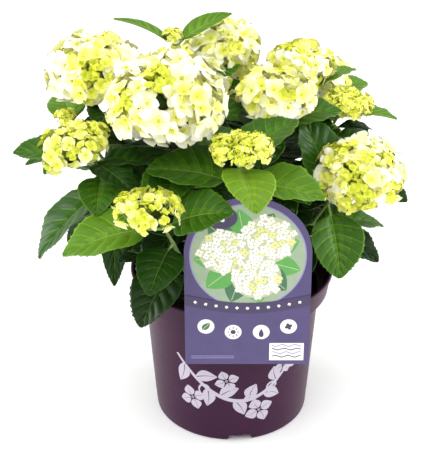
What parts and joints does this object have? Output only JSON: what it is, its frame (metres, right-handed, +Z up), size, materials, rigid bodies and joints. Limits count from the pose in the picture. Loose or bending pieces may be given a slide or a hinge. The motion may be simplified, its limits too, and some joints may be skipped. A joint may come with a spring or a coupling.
{
  "type": "potted mophead hydrangea shrub",
  "caption": "Bushy mophead hydrangea in bloom, standing in a flared round plastic nursery pot with an arched bed card hooked over its rim.",
  "frame": {"origin": "middle of the pot's flat underside, at ground level", "axes": "+Z up, +X to the right of someone who faces the bed card, -Y out of the card's face"},
  "size_m": [0.4437, 0.4289, 0.4617],
  "materials": {
    "pot": "semi-gloss moulded plum polypropylene",
    "planting_mix": "loose dark peat-free mix",
    "card": "printed violet-blue plastic sheet",
    "canes": "pale green young cane with faint lengthwise ribs",
    "foliage": "satin green leaves under cream and lime flower heads"
  },
  "bodies": {
    "root": {"pot": "pot", "soil": "planting_mix", "bed_card": "card", "cane_front_left_high": "canes", "foliage_front_left_high": "foliage", "cane_left_high": "canes", "foliage_left_high": "foliage", "cane_back_high": "canes", "foliage_back_high": "foliage", "cane_right_high": "canes", "foliage_right_high": "foliage", "cane_back_right_high": "canes", "foliage_back_right_high": "foliage", "cane_right_low": "canes", "foliage_right_low": "foliage", "cane_front_bud": "canes", "foliage_front_bud": "foliage", "cane_left_bud": "canes", "foliage_left_bud": "foliage", "cane_front_left_bud": "canes", "foliage_front_left_bud": "foliage", "cane_right_bud": "canes", "foliage_right_bud": "foliage", "cane_left_small_bud": "canes", "foliage_left_small_bud": "foliage", "cane_crown_bud": "canes", "foliage_crown_bud": "foliage", "cane_back_left": "canes", "foliage_back_left": "foliage", "cane_back_low": "canes", "foliage_back_low": "foliage", "cane_back_right": "canes", "foliage_back_right": "foliage", "cane_left_back_low": "canes", "foliage_left_back_low": "foliage", "cane_right_back_low": "canes", "foliage_right_back_low": "foliage"}
  },
  "joints": []
}
